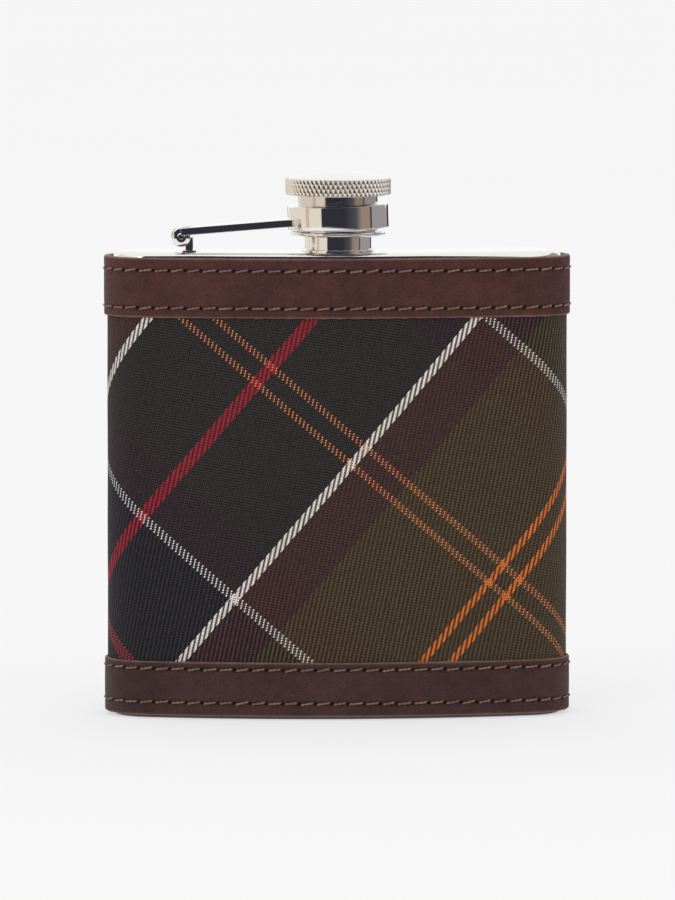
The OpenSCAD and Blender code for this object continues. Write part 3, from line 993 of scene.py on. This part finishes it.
def hinge_pin():
    """The pin, with peened ends."""
    half = (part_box("hinge_pin")[1].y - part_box("hinge_pin")[0].y) / 2
    profile = rounded_path([
        (0, -half, 0), (PIN_R * 0.7, -half + 0.02 * MM, 0.1 * MM), (PIN_R, -half + 0.2 * MM, 0.1 * MM),
        (PIN_R, half - 0.2 * MM, 0.1 * MM), (PIN_R * 0.7, half - 0.02 * MM, 0.1 * MM), (0, half, 0)], 3)
    pin = lathe("peened_hinge_pin", profile, HINGE, 32, 35, ALONG_Y)
    finish_piece(pin, PIN_STEEL, "flask", "pin_steel", "hinge_pin")


hinge_arm()
hinge_bracket()
hinge_pin()

# ---------- captive ring and cap ----------

INSERT_R = radius("cap_thread_insert")
RING_GAP = 0.25 * MM
IN_BEVEL = 0.2 * MM
RIM_BEVEL_W = 0.3 * MM
RIM_BEVEL_H = 0.18 * MM
EASE = 0.06 * MM
RING_TILT = math.radians(-1.8)
INSERT_ROOT_R = 6.85 * MM
INSERT_CREST_R = 6.69 * MM


def captive_ring():
    """A heavy polished ring with crisp bevels, which hangs a little askew in its clearance."""
    z0, z1 = span("captive_ring")
    bore = INSERT_R + RING_GAP
    profile = rounded_path([
        (bore, z0 + IN_BEVEL, EASE), (bore + IN_BEVEL, z0, EASE), (RING_R - RIM_BEVEL_W, z0, EASE),
        (RING_R, z0 + RIM_BEVEL_H, EASE), (RING_R, z1 - RIM_BEVEL_H, EASE),
        (RING_R - RIM_BEVEL_W, z1, EASE), (bore + IN_BEVEL, z1, EASE), (bore, z1 - IN_BEVEL, EASE)], 4)
    ring = lathe("polished_captive_ring", profile, NECK, 240, 50)
    middle = Matrix.Translation(NECK + Vector((0, 0, (z0 + z1) / 2)))
    ring.data.transform(middle @ Matrix.Rotation(RING_TILT, 4, "Y") @ middle.inverted())
    finish_piece(ring, POLISHED, "arm", "polished_steel", "captive_ring")


def retaining_flange():
    z0, z1 = span("cap_retaining_flange")
    r = radius("cap_retaining_flange")
    third = (z1 - z0) / 3
    ease = third * 0.8
    profile = rounded_path([
        (INSERT_R, z0, 0), (r - third, z0, ease), (r, z0 + third, ease), (r, z1 - third, ease),
        (r - third, z1, ease), (INSERT_R, z1, 0)], 4)
    piece = lathe("cap_flange", profile, NECK, 200)
    finish_piece(piece, POLISHED, "cap", "polished_steel", "cap_retaining_flange")


def cap_insert():
    """The threaded insert: a turned cup with a shallow helical thread inside."""
    z0, z1 = span("cap_thread_insert")
    roof = span("cap_seal")[1]
    profile = rounded_path([
        (0, roof, 0), (INSERT_ROOT_R, roof, 0), (INSERT_ROOT_R, z0, 0.2 * MM),
        (INSERT_R, z0, 0.05 * MM), (INSERT_R, z1, 0), (0, z1, 0)], 4)
    cup = lathe("threaded_cap_insert", profile, NECK, 200)
    points, faces = helix_ridge(
        INSERT_ROOT_R, INSERT_CREST_R, z0 + 0.8 * MM, span("cap_seal")[0] - 0.8 * MM, THREAD_PITCH,
        1.0 * MM, 0.4 * MM)
    ridge = new_object("ridge", points + np.array(NECK), faces, 30)
    recalculate_normals(ridge)
    piece = join("threaded_cap_insert", [cup, ridge])
    finish_piece(piece, INSERT_STEEL, "cap", "insert_steel", "cap_thread_insert")


def knurled_head():
    """The cap's head: a domed top and a diamond-knurled rim between two fine bevels."""
    z0, z1 = span("cap_head")
    head_r = radius("cap_head")
    rim_top = z0 + 3.65 * MM
    bevel = 0.14 * MM
    core_r = head_r - 0.4 * MM
    segments = KNURLS * STEPS_A_KNURL
    turn = np.arange(segments) * 2 * math.pi / segments
    plug_top = span("cap_thread_insert")[1]
    shell_r = INSERT_R - 1.2 * MM
    ceiling = z1 - 2.4 * MM
    inside = [
        (0, ceiling), (shell_r, ceiling), (shell_r, plug_top), (INSERT_R, plug_top), (INSERT_R, z0)]
    under = [(core_r - 0.7 * MM, z0), (core_r - 0.35 * MM, z0 + 0.06 * MM), (core_r, z0 + bevel)]
    knurled = [(head_r, z) for z in np.linspace(z0 + bevel + 0.03 * MM, rim_top - bevel, 34)]
    top_edge = [(core_r, rim_top - bevel + 0.04 * MM), (core_r - 0.04 * MM, rim_top - 0.03 * MM)]
    dome = [
        ((core_r - 0.12 * MM) * x, rim_top + (z1 - rim_top) * (1 - x * x))
        for x in np.linspace(1, 0, 26) ** 0.8]
    profile = inside + under + knurled + top_edge + dome
    r, z = np.array(profile).T
    is_knurl = r > head_r - 1e-9
    turn, r = np.meshgrid(turn, r, indexing="ij")
    z = np.broadcast_to(z, r.shape)
    count = turn * KNURLS / (2 * math.pi)
    climb = (z - z0) / (1.75 * MM)
    groove_a = np.clip(1 - np.abs(((count + climb) % 1.0) - 0.5) / 0.24, 0, 1)
    groove_b = np.clip(1 - np.abs(((count - climb) % 1.0) - 0.5) / 0.2, 0, 1)
    cut = np.maximum(0.27 * MM * groove_a, 0.18 * MM * groove_b)
    near_end = np.minimum(z - (z0 + bevel), rim_top - bevel - z) / (0.12 * MM)
    cut = np.maximum(cut, 0.3 * MM * (1 - np.clip(near_end, 0, 1)))
    r = np.where(is_knurl[None, :], r - cut, r)
    points = np.stack([r * np.cos(turn), r * np.sin(turn) + MID_Y, z], axis=-1).reshape(-1, 3)
    head = new_object("knurled_cap_head", points, grid_faces(segments, len(profile), True, True), 50)
    weld(head)
    finish_piece(head, POLISHED, "cap", "polished_steel", "cap_head")
    head.data.materials.append(KNURL_STEEL)
    for face in head.data.polygons:
        middle = face.center
        outer = math.hypot(middle.x, middle.y - MID_Y) > core_r - 0.3 * MM
        face.material_index = 1 if outer and middle.z < rim_top - 0.1 * MM else 0


captive_ring()
retaining_flange()
cap_insert()
knurled_head()

dress_node("body_wall", BODY_STEEL)
dress_node("wrap_lining", LINING)
dress_node("cap_seal", RUBBER)

# ---------- floor, camera and light ----------


def glow_round(name, ramp):
    """A glowing material whose colour changes with the angle round the studio."""
    made = bpy.data.materials.new(name)
    made.use_nodes = True
    nodes, links = made.node_tree.nodes, made.node_tree.links
    nodes.clear()
    glow = nodes.new("ShaderNodeEmission")
    links.new(glow.outputs[0], nodes.new("ShaderNodeOutputMaterial").inputs["Surface"])
    turn = nodes.new("ShaderNodeAttribute")
    turn.attribute_name = "turn"
    stops = nodes.new("ShaderNodeValToRGB")
    elements = stops.color_ramp.elements
    while len(elements) < len(ramp):
        elements.new(0.5)
    for element, (angle, colour) in zip(elements, ramp):
        element.position = (angle + 180) / 360
        element.color = colour
    links.new(turn.outputs["Fac"], stops.inputs["Fac"])
    links.new(stops.outputs["Color"], glow.inputs["Color"])
    return made


def floor():
    """A pale floor that glows a little, so the shade round the flask stays faint."""
    g = Graph("pale_floor", {"Specular IOR Level": 0.0, "Roughness": 1.0, "Emission Strength": 0.56})
    g.out("Base Color", g.mix(g.noise(3, 2), (0.36, 0.36, 0.36, 1), (0.37, 0.37, 0.37, 1)))
    g.bsdf.inputs["Emission Color"].default_value = (1, 1, 1, 1)
    reach = 60
    corners = [(-reach, -reach, 0), (reach, -reach, 0), (reach, reach, 0), (-reach, reach, 0)]
    piece = new_object("floor", corners, [[0, 1, 2, 3]])
    piece.data.materials.append(g.material)


def tone(red, green, blue, gain=1.12):
    return tuple(min(1.0, c * gain) for c in srgb(red, green, blue)[:3]) + (1,)


CARD_R = 0.6


def card_wall(name, low, high, first, last, ramp):
    """A glowing wall round the studio between two azimuths, seen only in reflections."""
    angles = np.radians(np.linspace(first, last, int(abs(last - first) / 2) + 1))
    points = [(CARD_R * math.sin(a), -CARD_R * math.cos(a), z) for a in angles for z in (low, high)]
    wall = new_object(name, points, grid_faces(len(angles), 2, False, False))
    set_attribute(wall, "turn", np.repeat((np.degrees(angles) + 180) / 360, 2))
    wall.data.materials.append(glow_round(name + "_glow", ramp))
    for ray in ("camera", "diffuse", "shadow", "transmission", "volume_scatter"):
        setattr(wall, "visible_" + ray, False)


def reflection_cards():
    """Cards all round the studio: a warm one on the left, a dark one behind the camera and greyer ones
    on the right. Behind the flask the wall is dark low down and pale higher up."""
    warm, tan = tone(224, 214, 198), tone(204, 176, 152)
    dark, slate = tone(50, 50, 58, 1.0), tone(80, 80, 88, 1.0)
    taupe, mauve = tone(148, 130, 116), tone(152, 145, 148)
    black, pale = tone(24, 22, 22, 1.0), tone(246, 246, 246, 1.1)
    front = [
        (-81, warm), (-80, tan), (-73, tan), (-71, warm), (-41, warm), (-40, dark), (14, dark),
        (40, slate), (54, taupe), (76, taupe), (77, black), (80, black), (81, mauve)]
    low = [(-180, dark), (-166, dark), (-163, pale), (-154, pale), (-150, warm)]
    low += front + [(146, mauve), (150, dark), (180, dark)]
    high = [(-180, pale), (-135, pale), (-130, warm)] + front + [(135, mauve), (140, pale), (180, pale)]
    card_wall("low_cards", -0.02, 0.1, -180, 180, low)
    card_wall("high_cards", 0.1, 0.52, -180, 180, high)
    card_wall("tall_front_card", 0.52, 1.9, -46, 40, [(-40, dark), (40, dark)])


def area_light(name, place, target, size, power, colour):
    light = bpy.data.lights.new(name, "AREA")
    light.shape = "RECTANGLE"
    light.size, light.size_y = size
    light.energy = power
    light.color = colour
    lamp = bpy.data.objects.new(name, light)
    lamp.location = place
    lamp.rotation_euler = (Vector(target) - Vector(place)).to_track_quat("-Z", "Y").to_euler()
    bpy.context.scene.collection.objects.link(lamp)


def studio():
    floor()
    reflection_cards()
    world = bpy.data.worlds.new("studio")
    world.use_nodes = True
    background = world.node_tree.nodes["Background"]
    background.inputs["Color"].default_value = (1.0, 1.0, 1.0, 1)
    background.inputs["Strength"].default_value = 0.98
    bpy.context.scene.world = world
    area_light("key", (-0.9, -1.1, 1.2), (0, 0, 0.06), (0.9, 0.9), 3.0, (1.0, 0.98, 0.95))
    bpy.context.scene.view_settings.view_transform = "Standard"


CAMERA_AZIMUTH = math.radians(-2.1)
CAMERA_ELEVATION = math.radians(4.9)
CAMERA_DISTANCE = 1.64
CAMERA_LENS = 322
AIM_SHARE = 0.4856
AIM_X = -0.03 * MM


def camera():
    """The camera, a little to the left of the front and a little above."""
    low, high = cad_box
    aim = Vector((AIM_X, 0, low.z + (high.z - low.z) * AIM_SHARE))
    back = Vector((
        math.sin(CAMERA_AZIMUTH) * math.cos(CAMERA_ELEVATION),
        -math.cos(CAMERA_AZIMUTH) * math.cos(CAMERA_ELEVATION),
        math.sin(CAMERA_ELEVATION)))
    data = bpy.data.cameras.new("camera")
    data.sensor_width = 36
    data.lens = CAMERA_LENS
    data.clip_end = 100
    eye = bpy.data.objects.new("camera", data)
    eye.location = aim + back * CAMERA_DISTANCE
    eye.rotation_euler = (-back).to_track_quat("-Z", "Y").to_euler()
    bpy.context.scene.collection.objects.link(eye)
    bpy.context.scene.camera = eye


studio()
camera()
